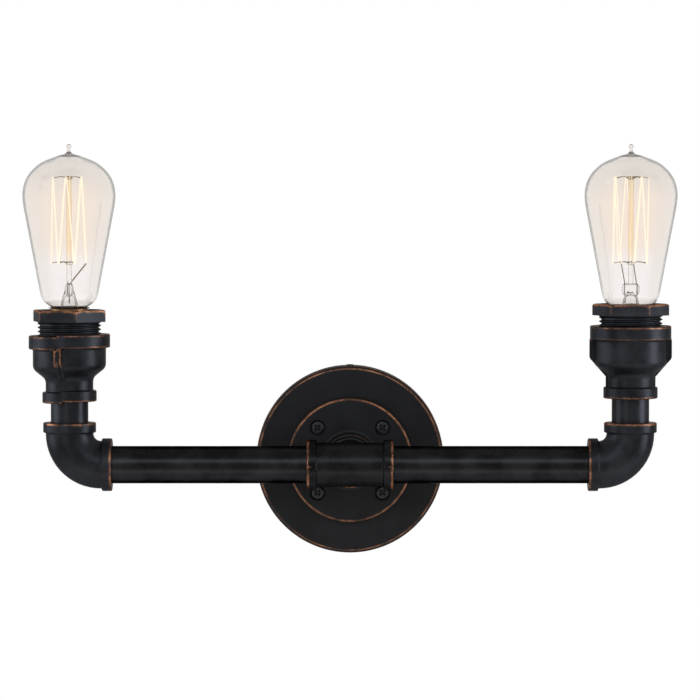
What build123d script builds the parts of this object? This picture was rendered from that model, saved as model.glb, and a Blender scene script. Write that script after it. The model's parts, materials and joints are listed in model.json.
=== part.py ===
"""Two-lamp vanity light built from threaded iron pipe fittings.

Frame: +Z up, +X to the right seen from the room, and the wall is the plane Y = 0, with the
room on its -Y side. The origin is the middle of the wall plate, on the wall. All lengths are
in millimetres and all angles in degrees.
"""

from build123d import *
from dataclasses import dataclass
from math import acos, atan2, cos, hypot, radians, sin, sqrt
import os

# Pipe: three-quarter inch nominal, with plain stand-ins for its hidden taper threads
PIPE_OD = 26.67
PIPE_BORE = 20.9
PIPE_GRIP = 13.0
PIPE_PLAY = 0.15

# Threads: how far a ridge is sunk into the wall that carries it
RIDGE_BITE = 0.25

# Layout of the two arms
ARM_SPAN = 399.0

# Wall plate and the strap behind it
CANOPY_OD = 135.5
CANOPY_DEPTH = 22.0
CANOPY_WALL = 1.6
CANOPY_EDGE = 2.6
CANOPY_HOLE = 22.0
STRAP_WIDTH = 22.0
STRAP_THICK = 1.6
STRAP_EAR = 12.5
STRAP_EAR_GAP = 0.4
STRAP_CENTRE_HOLE = 10.5
BOX_SCREW_SPACING = 88.9
BOX_SLOT_WIDTH = 5.0
BOX_SLOT_LENGTH = 12.0
SIDE_SCREW_HEIGHT = 8.0
SIDE_SCREW_SHANK = 3.0
SIDE_SCREW_LENGTH = 8.5
SIDE_SCREW_HEAD = 5.0
SIDE_SCREW_HEAD_HEIGHT = 0.7

# Floor flange and its four screws
FLANGE_OD = 90.0
FLANGE_THICK = 7.0
FLANGE_EDGE = 1.4
HUB_OD = 38.6
HUB_HEIGHT = 10.0
HUB_ROOT = 2.5
BOLT_CIRCLE = 66.3
BOLT_COUNT = 4
BOLT_SHANK = 4.0
BOLT_HEAD = 9.2
BOLT_HEAD_HEIGHT = 2.5
BOLT_PLAY = 0.25
BOLT_TAIL = 2.5
RECESS_PLAY = 1.2
RECESS_DEPTH = 2.8
NUT_FLATS = 7.0
NUT_HEIGHT = 3.2
NUT_PLAY = 0.1
CLOSE_NIPPLE_SHOW = 3.0

# Tee
TEE_REACH = 30.8
TEE_BODY_OD = 31.4
TEE_BAND_OD = 35.6
TEE_BAND_WIDTH = 6.8
MOULD_SHIFT = 0.5

# Elbows
ELBOW_REACH = 30.2
ELBOW_BEND = 22.1
ELBOW_BODY_OD = 34.0
ELBOW_BAND_OD = 37.6
ELBOW_BAND_WIDTH = 7.2
BAND_EDGE = 0.9
BAND_ROOT = 1.4

# Reducing couplings
REDUCER_LOW_BAND_OD = 38.6
REDUCER_LOW_BAND = 7.8
REDUCER_NECK_OD = 33.8
REDUCER_NECK = 7.6
REDUCER_SHOULDER = 10.0
REDUCER_SHOULDER_DRAW = 1.3
REDUCER_SHOULDER_ROUND = 6.0
REDUCER_BELL_OD = 52.0
REDUCER_BAND_RISE = 2.9
REDUCER_TOP_BAND_OD = REDUCER_BELL_OD + 2 * REDUCER_BAND_RISE
REDUCER_TOP_BAND = 9.6
REDUCER_CAVITY = 40.0
RIB_WIDTH = 5.2
RIB_HEIGHT = 3.2
RIB_FOOT = 0.7

# Hexagon bushings
BUSHING_MAJOR = 45.2
BUSHING_MINOR = 41.8
BUSHING_PITCH = 25.4 / 9
BUSHING_CREST = 0.3
BUSHING_THREAD = 21.0
BUSHING_RUNOUT = 1.7
BUSHING_BORE = 38.0
BUSHING_PLAY = 0.15
HEX_FLATS = 47.6
HEX_HEIGHT = 8.2
HEX_CORNER = 1.2
HEX_EDGE = 0.9
HEX_WASHER = 0.7

# Lamp holders, measured up from the pipe axis
SOCKET_FLOOR = 70.6
BRACKET_THICK = 1.6
BRACKET_PLAY = 0.3
LAMP_PIPE_OD = 10.3
LAMP_PIPE_BORE = 7.2
LAMP_PIPE_PLAY = 0.1
LAMP_NUT_FLATS = 14.0
LAMP_NUT_HEIGHT = 3.2
LAMP_PIPE_TAIL = 2.0
SOCKET_OD = 37.0
SOCKET_EDGE = 1.0
SOCKET_BOSS = 6.0
SOCKET_CHAMBER = 5.2
SOCKET_CHAMBER_OD = 19.0
SOCKET_WEB = 1.4
SOCKET_CUP = 21.2
SOCKET_CUP_PLAY = 0.45
SHELL_WALL = 0.4
SHELL_HEIGHT = 20.4
SHELL_RIDGE = 1.6
SHELL_SEAT_BORE = 16.0
RIVET_OD = 2.4
RIVET_OFFSET = 7.0
RIVET_TAIL = 1.0
RIVET_PLAY = 0.15
CONTACT_OD = 10.0
CONTACT_HEIGHT = 0.95
CONTACT_GAP = 0.25

# Screw lamp base, as on a medium screw lamp of seven threads to the inch
BASE_MAJOR = 26.3
BASE_MINOR = 24.5
BASE_PITCH = 25.4 / 7
BASE_WALL = 0.4
BASE_PLAY = 0.3
BASE_CONTACT_OD = 9.6
BASE_CONTACT_HEIGHT = 1.8
BASE_STUD_OD = 4.0
BASE_INSULATOR_HEIGHT = 3.2
BASE_THREAD = 16.0
BASE_RIDGE = 1.9
BASE_COLLAR = 5.0
BASE_RIM_OD = 29.0
BASE_FOOT_BORE = 20.0
ROLLING_GAP = 0.15

# Lamp, measured up from the tip of its contact, and where a name ends in DROP down from the tip of its glass
LAMP_LENGTH = 142.0
GLASS_WALL = 0.8
GLASS_NECK_OD = 25.0
GLASS_FOOT_OD = 41.6
GLASS_FOOT = 37.0
GLASS_WAIST_OD = 63.0
GLASS_WAIST_DROP = 48.6
GLASS_MAX_OD = 66.0
GLASS_MAX_DROP = 35.6
GLASS_SHOULDER_OD = 58.4
GLASS_SHOULDER_DROP = 22.5
GLASS_CROWN_OD = 41.7
GLASS_CROWN_DROP = 14.0
TIP_FLARE_OD = 17.0
TIP_FLARE_DROP = 8.6
TIP_NECK_OD = 2.0
TIP_NECK_DROP = 4.0
TIP_BALL_OD = 3.4
STEM_SEAL = 0.8
STEM_FLARE_OD = 12.6
STEM_WALL = 1.0
STEM_PINCH_OD = 6.0
STEM_PINCH = 39.5
STEM_PRESS_WIDTH = 12.2
STEM_PRESS_HEIGHT = 8.4
STEM_PRESS_ROUND = 2.4
STEM_ROD_OD = 3.6
STEM_BEAD_OD = 5.2
CAGE_OD = 25.6
CAGE_LOW = 57.6
CAGE_DROP = 24.1
CAGE_LOOPS = 6
CAGE_GAP = 40.0
FILAMENT_OD = 0.4
FILAMENT_BEND = 0.45
SUPPORT_OD = 0.5
SUPPORT_RISE = 1.2
LEAD_OD = 0.7
LEAD_SPREAD = 8.4

# Wiring
WIRE_OD = 2.4
WIRE_SPREAD = 1.7
WIRE_PAIR = 2.2
WIRE_TEE_BEND = 9.0
WIRE_PLATE_BEND = 6.0
CONNECTOR_OD = 10.5
CONNECTOR_END_OD = 7.6
CONNECTOR_BORE = 7.4
CONNECTOR_GRIP = 0.3
CONNECTOR_LENGTH = 20.0
CONNECTOR_OUT = 12.5
CONNECTOR_STEP = 3.0
CONNECTOR_FROM = 20.0
CONNECTOR_ENTRY = 6.0
GROUND_SCREW_DROP = 34.0
GROUND_SCREW_HEAD = 8.0
GROUND_SCREW_HEIGHT = 3.4
GROUND_SCREW_SHANK = 4.6
GROUND_WIRE_OD = 1.6
GROUND_OUT = 9.5


@dataclass(frozen=True)
class Arm:
    """What differs between the arms: how far each thread is screwed home and how each casting is turned."""

    name: str
    side: int
    riser_show: float
    bell_height: float
    thread_show: float
    hex_turn: float
    rib_turn: float
    mould_step: float
    lamp_turn: float


ARMS = (
    Arm("left", -1, 13.9, 12.9, 10.0, -17.0, -13.6, 1.2, 5.0),
    Arm("right", 1, 17.2, 16.4, 7.6, -5.0, 90.0, 0.25, -105.0),
)

# Heights worked out from the sizes above
CLOSE_NIPPLE_BASE = CANOPY_DEPTH + FLANGE_THICK + HUB_HEIGHT
AXIS_OUT = CLOSE_NIPPLE_BASE + CLOSE_NIPPLE_SHOW + TEE_REACH
SOCKET_BASE = SOCKET_FLOOR + BRACKET_THICK
SOCKET_CUP_FLOOR = SOCKET_BASE + SOCKET_BOSS + SOCKET_CHAMBER + SOCKET_WEB
LAMP_SEAT = SOCKET_CUP_FLOOR + CONTACT_HEIGHT + CONTACT_GAP
BASE_THREAD_START = BASE_CONTACT_HEIGHT + BASE_INSULATOR_HEIGHT
BASE_COLLAR_START = BASE_THREAD_START + BASE_THREAD
BASE_TOP = BASE_COLLAR_START + BASE_COLLAR
STEM_PRESS_TOP = STEM_PINCH + STEM_ROD_OD
GLASS_WAIST = LAMP_LENGTH - GLASS_WAIST_DROP
GLASS_MAX = LAMP_LENGTH - GLASS_MAX_DROP
GLASS_SHOULDER = LAMP_LENGTH - GLASS_SHOULDER_DROP
GLASS_CROWN = LAMP_LENGTH - GLASS_CROWN_DROP
TIP_FLARE = LAMP_LENGTH - TIP_FLARE_DROP
TIP_NECK = LAMP_LENGTH - TIP_NECK_DROP
CAGE_HIGH = LAMP_LENGTH - CAGE_DROP
GRIP_RADIUS = PIPE_OD / 2 + PIPE_PLAY
WALL_PLANE = Plane(origin=(0, 0, 0), x_dir=(1, 0, 0), z_dir=(0, -1, 0))
PIPE_AXIS = Pos(0, -AXIS_OUT, 0)


def reducer_base(arm):
    """Height of the reducer's lower end above the pipe axis."""
    return ELBOW_REACH + arm.riser_show


def reducer_height(arm):
    fixed = REDUCER_LOW_BAND + REDUCER_NECK + REDUCER_SHOULDER + REDUCER_TOP_BAND
    return fixed + arm.bell_height


def reducer_top(arm):
    return reducer_base(arm) + reducer_height(arm)


def arm_place(arm):
    """The foot of the arm's vertical axis, on the pipe axis."""
    return PIPE_AXIS * Pos(arm.side * ARM_SPAN / 2, 0, 0)


def turned(*corners):
    """Revolves a closed outline of (radius, height, rounding) corners about Z."""
    points = [(r, z) for r, z, _ in corners]
    outline = FilletPolyline(*points, radius=[c for *_, c in corners], close=True)
    return revolve(Plane.XZ * make_face(outline), Axis.Z)


def rod(diameter, low, high):
    """A plain cylinder on Z between two heights."""
    return Pos(0, 0, low) * Cylinder(diameter / 2, high - low, align=(Align.CENTER, Align.CENTER, Align.MIN))


def tube(outer, bore, low, high):
    return rod(outer, low, high) - rod(bore, low - 1, high + 1)


def swept(diameter, points, bends):
    """A round wire along straight runs joined by tangent arcs."""
    path = FilletPolyline(*points, radius=bends) if len(points) > 2 else Line(*points)
    start = Plane(origin=path @ 0, z_dir=path % 0)
    return sweep(start * Circle(diameter / 2), path=path)


def hexagon(flats, height):
    return extrude(RegularPolygon(flats / 2, 6, major_radius=False), height)


def ridge(section, pitch, low, high):
    """A thread's ridge in half-turn lengths: a section in the XZ plane, up a right-hand helix about Z.

    Its turn is counted from Z = 0, so ridges of one pitch stay in step at every height.
    """
    half_turn = sweep(section, path=Helix(pitch, pitch / 2, section.center().X), is_frenet=True)
    lengths = []
    for half in range(int(2 * (high - low) / pitch)):
        lift = low + half * pitch / 2
        lengths.append(Pos(0, 0, lift) * Rot(0, 0, 360 * lift / pitch) * half_turn)
    return lengths


def sharp_ridge(major, minor, pitch, crest):
    """Section of a V thread's ridge, standing out from its core and sunk a little into it."""
    root, top = minor / 2 - RIDGE_BITE, major / 2
    slope = (pitch - crest) / (major - minor + 2 * RIDGE_BITE)
    low = pitch / 2 - RIDGE_BITE * slope
    corners = [(root, 0, -low), (root, 0, low), (top, 0, crest / 2), (top, 0, -crest / 2)]
    return make_face(Polyline(*corners, close=True))


def round_ridge(root, top, width, middle):
    """Section of a rolled thread's ridge, from the wall at one radius to its crest at another."""
    bite = RIDGE_BITE if root > top else -RIDGE_BITE
    rise = top - root
    side = [(root + bite, width / 2), (root + 0.55 * rise, 0.4 * width), (top, 0.18 * width)]
    points = [(radius, 0, middle + half) for radius, half in side]
    points += [(radius, 0, middle - half) for radius, half in reversed(side)]
    return make_face(Polyline(*points, close=True))


def screw(head, head_height, shank, length):
    """A cross-recess pan-head screw on Z, with its head's seat at Z = 0."""
    crown = 0.45 * head_height
    body = turned((0, 0, 0), (head / 2, 0, 0), (head / 2, head_height, crown), (0, head_height, 0))
    slot = 0.55 * head
    cross = Box(slot, 0.14 * head, head_height) + Box(0.14 * head, slot, head_height)
    return body - Pos(0, 0, head_height) * cross + rod(shank, -length, 0)


def nut(flats, height, bore):
    """A hexagon nut with its lower face on Z = 0."""
    corner = flats / sqrt(3)
    bevel = min(corner - flats / 2, 0.3 * height)
    rounded = turned(
        (0, 0, 0), (corner - bevel, 0, 0), (corner, bevel, 0),
        (corner, height - bevel, 0), (corner - bevel, height, 0), (0, height, 0),
    )
    blank = hexagon(flats, height) & rounded
    return blank - rod(bore, -1, height + 1)


def collar(body, band, width, tail):
    """The banded end of a fitting, from Z = 0 inwards along -Z, with a fillet where its tail begins."""
    edge = min(BAND_EDGE, (band - body) / 4)
    root = min(BAND_ROOT, (band - body) / 2, 0.9 * tail)
    return turned(
        (0, 0, 0), (band / 2, 0, edge), (band / 2, -width, edge), (body / 2, -width, root),
        (body / 2, -width - tail, 0), (0, -width - tail, 0),
    )


def grip_bore(depth):
    """What a fitting's mouth loses: the seat of a pipe end, from Z = 0 along -Z."""
    return rod(2 * GRIP_RADIUS, -depth, 1)


def bolt_places():
    """Where the flange is bolted to the wall plate: evenly round it, the first one at half past one."""
    return list(PolarLocations(BOLT_CIRCLE / 2, BOLT_COUNT, 45))


def canopy():
    """The pressed wall plate: a shallow pan, open to the wall."""
    radius = CANOPY_OD / 2
    inner_edge = max(CANOPY_EDGE - CANOPY_WALL, 0.3)
    pan = turned(
        (radius - CANOPY_WALL, 0, 0), (radius, 0, 0), (radius, CANOPY_DEPTH, CANOPY_EDGE),
        (CANOPY_HOLE / 2, CANOPY_DEPTH, 0), (CANOPY_HOLE / 2, CANOPY_DEPTH - CANOPY_WALL, 0),
        (radius - CANOPY_WALL, CANOPY_DEPTH - CANOPY_WALL, inner_edge),
    )
    bolt_hole = rod(BOLT_SHANK + 2 * BOLT_PLAY, 0, CANOPY_DEPTH + 1)
    pan -= [place * bolt_hole for place in bolt_places()]
    side_hole = rod(SIDE_SCREW_SHANK + 2 * BOLT_PLAY, 0, radius + 1)
    for turn in (90, -90):
        pan -= Pos(0, 0, SIDE_SCREW_HEIGHT) * Rot(turn, 0, 0) * side_hole
    return WALL_PLANE * pan


def strap_ear_out():
    """How far the outer faces of the strap's ears stand from the middle: just inside the round wall plate."""
    inside = CANOPY_OD / 2 - CANOPY_WALL
    return sqrt(inside**2 - (STRAP_WIDTH / 2) ** 2) - STRAP_EAR_GAP


def mounting_strap():
    """The flat strap that is screwed to the outlet box, with an ear bent forward at each end."""
    out = strap_ear_out()
    low = (Align.CENTER, Align.CENTER, Align.MIN)
    strap = Box(STRAP_WIDTH, 2 * out, STRAP_THICK, align=low)
    for side in (-1, 1):
        ear = Box(STRAP_WIDTH, STRAP_THICK, STRAP_EAR, align=low)
        strap += Pos(0, side * (out - STRAP_THICK / 2), 0) * ear
        slot = SlotOverall(BOX_SLOT_LENGTH, BOX_SLOT_WIDTH, rotation=90)
        strap -= Pos(0, side * BOX_SCREW_SPACING / 2, 0) * extrude(slot, STRAP_THICK)
    strap -= rod(STRAP_CENTRE_HOLE, 0, STRAP_THICK)
    strap -= Pos(0, -GROUND_SCREW_DROP, 0) * rod(GROUND_SCREW_SHANK + 2 * NUT_PLAY, 0, STRAP_THICK)
    tapped = rod(SIDE_SCREW_SHANK + 2 * NUT_PLAY, 0, out + 1)
    for turn in (90, -90):
        strap -= Pos(0, 0, SIDE_SCREW_HEIGHT) * Rot(turn, 0, 0) * tapped
    return WALL_PLANE * strap


def side_screws():
    """The pair that holds the wall plate to the strap, one at its top and one below."""
    each = screw(SIDE_SCREW_HEAD, SIDE_SCREW_HEAD_HEIGHT, SIDE_SCREW_SHANK, SIDE_SCREW_LENGTH)
    each = Pos(0, 0, CANOPY_OD / 2) * each
    level = WALL_PLANE * Pos(0, 0, SIDE_SCREW_HEIGHT)
    return [level * Rot(turn, 0, 0) * each for turn in (90, -90)]


def ground_screw():
    head = hexagon(GROUND_SCREW_HEAD, GROUND_SCREW_HEIGHT)
    head -= Pos(0, 0, GROUND_SCREW_HEIGHT) * Box(GROUND_SCREW_HEAD, 1.2, GROUND_SCREW_HEIGHT)
    whole = head + rod(GROUND_SCREW_SHANK, -STRAP_THICK, 0)
    return WALL_PLANE * Pos(0, -GROUND_SCREW_DROP, STRAP_THICK) * whole


def floor_flange():
    """The cast flange that is screwed to the wall plate and carries the tee on a close nipple."""
    radius = FLANGE_OD / 2
    top = FLANGE_THICK + HUB_HEIGHT
    casting = turned(
        (PIPE_BORE / 2, 0, 0), (radius, 0, 0), (radius, FLANGE_THICK, FLANGE_EDGE),
        (HUB_OD / 2, FLANGE_THICK, HUB_ROOT), (HUB_OD / 2, top, BAND_EDGE), (PIPE_BORE / 2, top, 0),
    )
    casting -= Pos(0, 0, top) * grip_bore(PIPE_GRIP)
    recess_floor = FLANGE_THICK - RECESS_DEPTH
    hole = rod(BOLT_SHANK + 2 * BOLT_PLAY, -1, FLANGE_THICK) + rod(
        BOLT_HEAD + 2 * RECESS_PLAY, recess_floor, FLANGE_THICK + HUB_ROOT
    )
    casting -= [place * hole for place in bolt_places()]
    return WALL_PLANE * Pos(0, 0, CANOPY_DEPTH) * casting


def flange_screws():
    seat = CANOPY_DEPTH + FLANGE_THICK - RECESS_DEPTH
    length = FLANGE_THICK - RECESS_DEPTH + CANOPY_WALL + NUT_HEIGHT + BOLT_TAIL
    each = screw(BOLT_HEAD, BOLT_HEAD_HEIGHT, BOLT_SHANK, length)
    return [WALL_PLANE * Pos(0, 0, seat) * place * each for place in bolt_places()]


def flange_nuts():
    seat = CANOPY_DEPTH - CANOPY_WALL - NUT_HEIGHT
    each = nut(NUT_FLATS, NUT_HEIGHT, BOLT_SHANK + 2 * NUT_PLAY)
    return [WALL_PLANE * Pos(0, 0, seat) * place * each for place in bolt_places()]


def close_nipple():
    low = CLOSE_NIPPLE_BASE - PIPE_GRIP
    high = CLOSE_NIPPLE_BASE + CLOSE_NIPPLE_SHOW + PIPE_GRIP
    return WALL_PLANE * tube(PIPE_OD, PIPE_BORE, low, high)


def tee():
    """Run along X, branch to the wall. The halves of its mould met a little out of step."""
    ends = [Rot(0, 90, 0), Rot(0, -90, 0), Rot(-90, 0, 0)]
    outside = Sphere(TEE_BODY_OD / 2)
    band = collar(TEE_BODY_OD, TEE_BAND_OD, TEE_BAND_WIDTH, 2 * BAND_ROOT)
    for end in ends:
        outside += end * rod(TEE_BODY_OD, 0, TEE_REACH - TEE_BAND_WIDTH)
        outside += end * Pos(0, 0, TEE_REACH) * band
    upper = split(outside, bisect_by=Plane.XY, keep=Keep.TOP)
    lower = split(outside, bisect_by=Plane.XY, keep=Keep.BOTTOM)
    casting = lower + Pos(0, MOULD_SHIFT, 0) * upper
    for end in ends:
        casting -= end * rod(PIPE_BORE, 0, TEE_REACH + 2)
        casting -= end * Pos(0, 0, TEE_REACH) * grip_bore(PIPE_GRIP)
    faced_off = Rot(-90, 0, 0) * rod(2 * TEE_BAND_OD, TEE_REACH, TEE_REACH + 2 * MOULD_SHIFT)
    return PIPE_AXIS * (casting - faced_off)


def arm_pipe(arm):
    """The level pipe between tee and elbow."""
    inner = TEE_REACH - PIPE_GRIP
    outer = ARM_SPAN / 2 - ELBOW_REACH + PIPE_GRIP
    return PIPE_AXIS * Rot(0, 90 * arm.side, 0) * tube(PIPE_OD, PIPE_BORE, inner, outer)


def bend(diameter):
    """A quarter bend of round bar, from straight up to straight along X, between an elbow's mouths."""
    turn = Axis((ELBOW_BEND, 0, ELBOW_BEND), (0, -1, 0))
    quarter = revolve(Pos(0, 0, ELBOW_BEND) * Circle(diameter / 2), turn, 90)
    straight = rod(diameter, ELBOW_BEND, ELBOW_REACH)
    return quarter + straight + Rot(0, 90, 0) * straight


def elbow(arm):
    """A quarter bend from the level pipe up to the riser, banded at both mouths."""
    mouths = [Rot(0, 0, 0), Rot(0, 90, 0)]
    casting = bend(ELBOW_BODY_OD)
    end = collar(ELBOW_BODY_OD, ELBOW_BAND_OD, ELBOW_BAND_WIDTH, ELBOW_REACH - ELBOW_BEND - ELBOW_BAND_WIDTH)
    for mouth in mouths:
        casting += mouth * Pos(0, 0, ELBOW_REACH) * end
    casting -= bend(PIPE_BORE)
    for mouth in mouths:
        casting -= mouth * Pos(0, 0, ELBOW_REACH) * grip_bore(PIPE_GRIP)
    return arm_place(arm) * Rot(0, 0, 90 + 90 * arm.side) * casting


def riser(arm):
    """The short upright nipple between elbow and reducer."""
    low = ELBOW_REACH - PIPE_GRIP
    high = reducer_base(arm) + PIPE_GRIP
    return arm_place(arm) * tube(PIPE_OD, PIPE_BORE, low, high)


def reducer_outline(arm):
    """The heights at which the reducer's outside changes, from its lower end up."""
    neck = REDUCER_LOW_BAND
    shoulder = neck + REDUCER_NECK
    bell = shoulder + REDUCER_SHOULDER
    band = bell + arm.bell_height
    return neck, shoulder, bell, band, band + REDUCER_TOP_BAND


def reducer_rib(arm):
    """One of the two cast ribs on the mould's parting line, down the bell and its shoulder."""
    neck, shoulder, bell, band, top = reducer_outline(arm)
    bell_out = REDUCER_BELL_OD / 2
    neck_out = REDUCER_NECK_OD / 2
    inside = REDUCER_CAVITY / 2
    points = [
        (inside, band), (bell_out + RIB_HEIGHT, band), (bell_out + RIB_HEIGHT, bell + RIB_HEIGHT),
        (neck_out + RIB_FOOT, shoulder), (neck_out + RIB_FOOT, neck), (neck_out - RIB_FOOT, neck),
        (neck_out - RIB_FOOT, shoulder), (inside, bell),
    ]
    outline = FilletPolyline(*points, radius=[0, 0, RIB_HEIGHT, 0, 0, 0, 0, 0], close=True)
    return extrude(Plane.XZ * make_face(outline), RIB_WIDTH / 2, both=True)


def reducer(arm):
    """The bell-shaped coupling that widens from the riser to the lamp holder.

    The halves of its mould met at the ribs, one a little higher than the other.
    """
    neck, shoulder, bell, band, top = reducer_outline(arm)
    low_out, neck_out = REDUCER_LOW_BAND_OD / 2, REDUCER_NECK_OD / 2
    bell_out, band_out = REDUCER_BELL_OD / 2, REDUCER_TOP_BAND_OD / 2
    low_step, top_step = (low_out - neck_out) / 2, (band_out - bell_out) / 2
    casting = turned(
        (0, 0, 0), (low_out, 0, BAND_EDGE), (low_out, neck, BAND_EDGE),
        (neck_out, neck, min(BAND_ROOT, low_step)),
        (neck_out, shoulder + REDUCER_SHOULDER_DRAW, REDUCER_SHOULDER_ROUND),
        (bell_out, bell - REDUCER_SHOULDER_DRAW, REDUCER_SHOULDER_ROUND),
        (bell_out, band, min(BAND_ROOT, top_step)),
        (band_out, band, BAND_EDGE), (band_out, top, BAND_EDGE), (0, top, 0),
    )
    for turn in (0, 180):
        casting += Rot(0, 0, turn) * reducer_rib(arm)
    nearer = split(casting, bisect_by=Plane.XZ, keep=Keep.TOP)
    further = split(casting, bisect_by=Plane.XZ, keep=Keep.BOTTOM)
    casting = Rot(0, 0, -90 + arm.rib_turn) * (nearer + Pos(0, 0, arm.mould_step) * further)
    floor = SOCKET_FLOOR - reducer_base(arm)
    thread_end = top - (BUSHING_THREAD - arm.thread_show) - 1
    casting -= grip_bore(PIPE_GRIP).mirror(Plane.XY)
    casting -= rod(PIPE_BORE, 0, floor)
    casting -= rod(REDUCER_CAVITY, floor, top)
    casting -= rod(BUSHING_MAJOR + 2 * BUSHING_PLAY, thread_end, top + 2 * BAND_EDGE)
    return arm_place(arm) * Pos(0, 0, reducer_base(arm)) * casting


def bushing(arm):
    """The hexagon bushing screwed part-way into the reducer's mouth."""
    blank = hexagon(HEX_FLATS, HEX_HEIGHT)
    blank = fillet(blank.edges().filter_by(Axis.Z), HEX_CORNER)
    corner = HEX_FLATS / sqrt(3)
    cone = turned(
        (0, 0, 0), (corner, 0, 0), (corner, HEX_HEIGHT - HEX_EDGE, 0),
        (corner - 2 * HEX_EDGE, HEX_HEIGHT, 0), (0, HEX_HEIGHT, 0),
    )
    head = Rot(0, 0, arm.hex_turn) * (blank & cone)
    bore = BUSHING_BORE / 2
    mouth = turned(
        (0, HEX_HEIGHT - HEX_EDGE, 0), (bore, HEX_HEIGHT - HEX_EDGE, 0),
        (bore + 2 * HEX_EDGE, HEX_HEIGHT + HEX_EDGE, 0), (0, HEX_HEIGHT + HEX_EDGE, 0),
    )
    core, washer = BUSHING_MINOR / 2, HEX_FLATS / 2 - HEX_WASHER
    shank = turned(
        (0, -BUSHING_THREAD, 0), (core, -BUSHING_THREAD, 0), (core, -BUSHING_RUNOUT, 0),
        (washer, 0, 0), (0, 0, 0),
    )
    section = sharp_ridge(BUSHING_MAJOR, BUSHING_MINOR, BUSHING_PITCH, BUSHING_CREST)
    shank += ridge(section, BUSHING_PITCH, BUSHING_PITCH - BUSHING_THREAD, -BUSHING_RUNOUT / 2)
    whole = head + shank - rod(BUSHING_BORE, -BUSHING_THREAD - 1, HEX_HEIGHT) - mouth
    return arm_place(arm) * Pos(0, 0, reducer_top(arm) + arm.thread_show) * whole


def socket_bracket(arm):
    """The disc on the reducer's inner ledge that carries the lamp holder."""
    outer = REDUCER_CAVITY - 2 * BRACKET_PLAY
    bore = LAMP_PIPE_OD + 2 * LAMP_PIPE_PLAY
    return arm_place(arm) * tube(outer, bore, SOCKET_FLOOR, SOCKET_BASE)


def lamp_pipe(arm):
    """The hollow threaded stem through the disc, which the lamp holder is screwed on to."""
    low = SOCKET_FLOOR - LAMP_NUT_HEIGHT - LAMP_PIPE_TAIL
    return arm_place(arm) * tube(LAMP_PIPE_OD, LAMP_PIPE_BORE, low, SOCKET_BASE + SOCKET_BOSS)


def lamp_pipe_nut(arm):
    whole = nut(LAMP_NUT_FLATS, LAMP_NUT_HEIGHT, LAMP_PIPE_OD + 2 * LAMP_PIPE_PLAY)
    return arm_place(arm) * Pos(0, 0, SOCKET_FLOOR - LAMP_NUT_HEIGHT) * whole


def shell_outer_radius():
    """The furthest that the lamp holder's screw shell reaches from its axis."""
    return BASE_MAJOR / 2 + BASE_PLAY + SHELL_WALL


def socket_body(arm):
    """The moulded lamp holder: boss, wiring chamber and the cup that the screw shell stands in."""
    chamber = SOCKET_BASE + SOCKET_BOSS
    web = chamber + SOCKET_CHAMBER
    top = SOCKET_CUP_FLOOR + SOCKET_CUP
    side = SOCKET_OD / 2
    body = turned(
        (0, SOCKET_BASE, 0), (side, SOCKET_BASE, SOCKET_EDGE), (side, top, SOCKET_EDGE), (0, top, 0)
    )
    body -= rod(LAMP_PIPE_OD + 2 * LAMP_PIPE_PLAY, SOCKET_BASE - 1, chamber)
    body -= rod(SOCKET_CHAMBER_OD, chamber, web)
    body -= rod(2 * (shell_outer_radius() + SOCKET_CUP_PLAY), SOCKET_CUP_FLOOR, top + 1)
    rivet_hole = rod(RIVET_OD + 2 * RIVET_PLAY, web - 1, SOCKET_CUP_FLOOR + 1)
    body -= rivet_hole
    body -= Pos(0, RIVET_OFFSET, 0) * rivet_hole
    return arm_place(arm) * body


def socket_shell(arm):
    """The rolled screw shell, with its seat ring and the rivet that takes the neutral wire."""
    low = SOCKET_CUP_FLOOR + SHELL_WALL
    high = low + SHELL_HEIGHT
    inside = BASE_MAJOR / 2 + BASE_PLAY
    section = round_ridge(inside, BASE_MINOR / 2 + BASE_PLAY, SHELL_RIDGE, BASE_PITCH / 2)
    first, last = low - LAMP_SEAT, high - LAMP_SEAT - BASE_PITCH
    shell = tube(2 * shell_outer_radius(), 2 * inside, low, high)
    shell += [Pos(0, 0, LAMP_SEAT) * length for length in ridge(section, BASE_PITCH, first, last)]
    shell += tube(2 * shell_outer_radius(), SHELL_SEAT_BORE, SOCKET_CUP_FLOOR, low)
    tongue = Box(RIVET_OD, SHELL_SEAT_BORE / 2 - RIVET_OFFSET + RIVET_OD, SHELL_WALL,
                 align=(Align.CENTER, Align.MIN, Align.MIN))
    shell += Pos(0, RIVET_OFFSET - RIVET_OD / 2, SOCKET_CUP_FLOOR) * tongue
    shell += Pos(0, RIVET_OFFSET, 0) * rod(RIVET_OD, SOCKET_CUP_FLOOR - SOCKET_WEB - RIVET_TAIL, low)
    return arm_place(arm) * shell


def socket_contact(arm):
    """The centre contact of the lamp holder, riveted through the web."""
    top = SOCKET_CUP_FLOOR + CONTACT_HEIGHT
    button = turned(
        (0, SOCKET_CUP_FLOOR, 0), (CONTACT_OD / 2, SOCKET_CUP_FLOOR, 0),
        (CONTACT_OD / 2, SOCKET_CUP_FLOOR + SHELL_WALL, 0), (CONTACT_OD / 3, top, 0), (0, top, 0),
    )
    button += rod(RIVET_OD, SOCKET_CUP_FLOOR - SOCKET_WEB - RIVET_TAIL, SOCKET_CUP_FLOOR)
    return arm_place(arm) * button


def lamp_place(arm):
    return arm_place(arm) * Pos(0, 0, LAMP_SEAT)


def lamp_contact(arm):
    """The soldered tip of the lamp, with its stud up into the insulator."""
    button = turned(
        (0, 0, 0), (BASE_CONTACT_OD / 3, 0, 0), (BASE_CONTACT_OD / 2, BASE_CONTACT_HEIGHT, 0),
        (0, BASE_CONTACT_HEIGHT, 0),
    )
    return lamp_place(arm) * (button + rod(BASE_STUD_OD, 0, BASE_CONTACT_HEIGHT + BASE_INSULATOR_HEIGHT / 2))


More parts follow.
